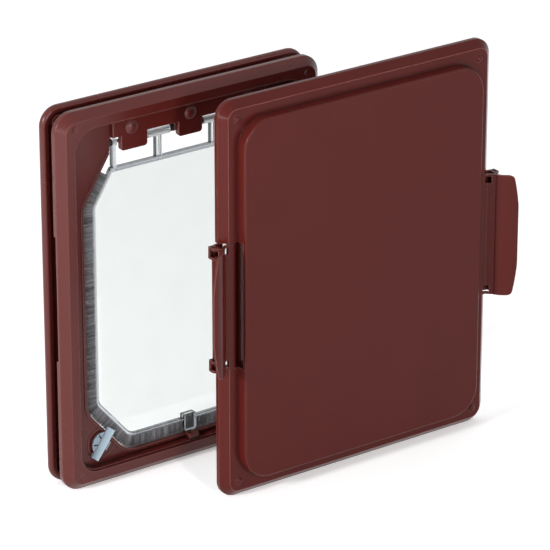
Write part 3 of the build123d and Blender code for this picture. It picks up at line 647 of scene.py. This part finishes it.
def mesh_piece(name, corners, triangles, material):
    """Put arrays of corners and triangles into a new mesh object at the origin."""
    mesh = bpy.data.meshes.new(name)
    mesh.from_pydata(corners.tolist(), [], triangles.tolist())
    mesh.materials.append(material)
    piece = bpy.data.objects.new(name, mesh)
    bpy.context.scene.collection.objects.link(piece)
    return piece


for node, side, seed in (("brush_left", -1, 11), ("brush_right", 1, 12)):
    corners, triangles, tone = brush_fibres(edge_path, pocket_clear, path_end, side, fibre_count, seed)
    piece = mesh_piece(node + "_fibres", corners, triangles, pile)
    tones = piece.data.attributes.new("fibre_tone", "FLOAT", "POINT")
    tones.data.foreach_set("value", tone.astype(np.float32))
    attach(piece, "flap")
    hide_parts(node)
    print(node, fibre_count, "fibres,", len(triangles), "triangles")

# %% [markdown]
# The photograph looks down at the door from the front left. A short lens close by would make
# the panel bulge toward us; a long lens, far away, keeps the upright edges nearly parallel,
# as they are in the photograph. The camera's place was worked out from the outer edges of
# frame and panel, with the focal length in pixels of a square picture.

# %% Camera
focal_pixels, picture_pixels, sensor_millimetres = 3781.8, 550.0, 36.0
camera_place = (-2.1096, -3.1505, 1.6389)
yaw, pitch = 0.6152, 0.4092
camera_data = bpy.data.cameras.new("product_camera")
camera_data.sensor_width = sensor_millimetres
camera_data.lens = focal_pixels / picture_pixels * camera_data.sensor_width
camera = bpy.data.objects.new("product_camera", camera_data)
bpy.context.scene.collection.objects.link(camera)
camera.location = camera_place
aim = Vector((math.sin(yaw) * math.cos(pitch), math.cos(yaw) * math.cos(pitch), -math.sin(pitch)))
camera.rotation_euler = aim.to_track_quat("-Z", "Y").to_euler()
bpy.context.scene.camera = camera
print("lens", round(camera_data.lens, 1), "mm")

# %% [markdown]
# The set is a white sweep, and it starts with a wide pale floor that keeps the door's shadow.
# More lamps would make it white, but they would bleach the door as well. Instead, the floor
# glows a little, and only for rays from the camera, from mirrors and through clear plastic,
# so it looks white, also in reflections, and adds no light to matt surfaces.

# %% Floor
floor_reach, floor_light = 6.0, (0.35, 0.35, 0.35)


def seen_rays(tree):
    """One for rays that see the set: from the camera, from mirrors and through clear plastic."""
    rays = put(tree, "ShaderNodeLightPath").outputs
    seen = calc(tree, "ADD", rays["Is Camera Ray"], rays["Is Transmission Ray"])
    return calc(tree, "ADD", seen, rays["Is Glossy Ray"], clamp=True)


floor_square = ((-1, -1), (1, -1), (1, 1), (-1, 1))
floor_corners = [(x * floor_reach, y * floor_reach, floor_z) for x, y in floor_square]
floor_mesh = bpy.data.meshes.new("studio_floor")
floor_mesh.from_pydata(floor_corners, [], [(0, 1, 2, 3)])
studio_floor = bpy.data.objects.new("studio_floor", floor_mesh)
bpy.context.scene.collection.objects.link(studio_floor)

floor_finish, floor_tree, floor_shader = new_finish("studio_paper", roughness=0.9, emission_strength=1.0)
floor_mesh.materials.append(floor_finish)
floor_place = put(floor_tree, "ShaderNodeTexCoord").outputs["Object"]
paper = noise(floor_tree, floor_place, scale=3.0, detail=2.0)
paper_tone = color_mix(floor_tree, (0.88, 0.88, 0.88), (0.92, 0.92, 0.92), paper)
floor_glow = color_mix(floor_tree, (0.0, 0.0, 0.0), floor_light, seen_rays(floor_tree))
wire(
    floor_tree,
    (paper_tone, floor_shader.inputs["Base Color"]),
    (floor_glow, floor_shader.inputs["Emission Color"]),
)
print("floor at", round(floor_z, 3), "m")

# %% [markdown]
# Round the floor stands a white world. A picture of a studio could light the scene, but two
# levels are enough: it shines brighter behind the door than behind the camera, which gives
# the flap and the edges a clear rim. The camera, mirrors and clear plastic see plain white.

# %% World
front_level, back_level = 0.34, 0.9
world = bpy.data.worlds.new("studio_world")
bpy.context.scene.world = world
world.use_nodes = True
world_tree = world.node_tree
backdrop = world_tree.nodes["Background"]
backdrop.inputs["Color"].default_value = (1, 1, 1, 1)
sky_place = put(world_tree, "ShaderNodeTexCoord").outputs["Generated"]
sky_parts = put(world_tree, "ShaderNodeSeparateXYZ", vector=sky_place)
sky_light = remap(world_tree, sky_parts.outputs["Y"], from_min=-0.3, from_max=0.5,
                  to_min=front_level, to_max=back_level)
sky_level = calc(world_tree, "ADD", sky_light, seen_rays(world_tree), clamp=True)
wire(world_tree, (sky_level, backdrop.inputs["Strength"]))
print("world from", front_level, "in front to", back_level, "behind")

# %% [markdown]
# Lamps draw the shape. One large soft lamp would be easy, but flat. A strong one at the left
# lights the side faces and bevels, a small one in front puts sharp lights on the domes, a
# large weak one fills the right, and a tiny low one adds a spark to rounded corners. The view
# transform stays plain, so that colours come out as they are written.

# %% Lamps and view
def soft_lamp(name, place, target, size, watts):
    """Square area lamp at a place, turned toward a target."""
    data = bpy.data.lights.new(name, "AREA")
    data.size = size
    data.energy = watts
    lamp = bpy.data.objects.new(name, data)
    lamp.location = place
    lamp.rotation_euler = (Vector(target) - Vector(place)).to_track_quat("-Z", "Y").to_euler()
    bpy.context.scene.collection.objects.link(lamp)


middle = (0.08, -0.05, 0.0)
soft_lamp("key_lamp", (-2.3, -0.35, 0.95), middle, size=0.5, watts=48.0)
soft_lamp("front_lamp", (-0.45, -2.5, 0.8), middle, size=0.24, watts=24.0)
soft_lamp("side_lamp", (1.6, -1.9, 0.6), middle, size=0.8, watts=5.0)
soft_lamp("spark_lamp", (-1.9, -1.65, 0.25), middle, size=0.15, watts=6.0)
bpy.context.scene.view_settings.view_transform = "Standard"
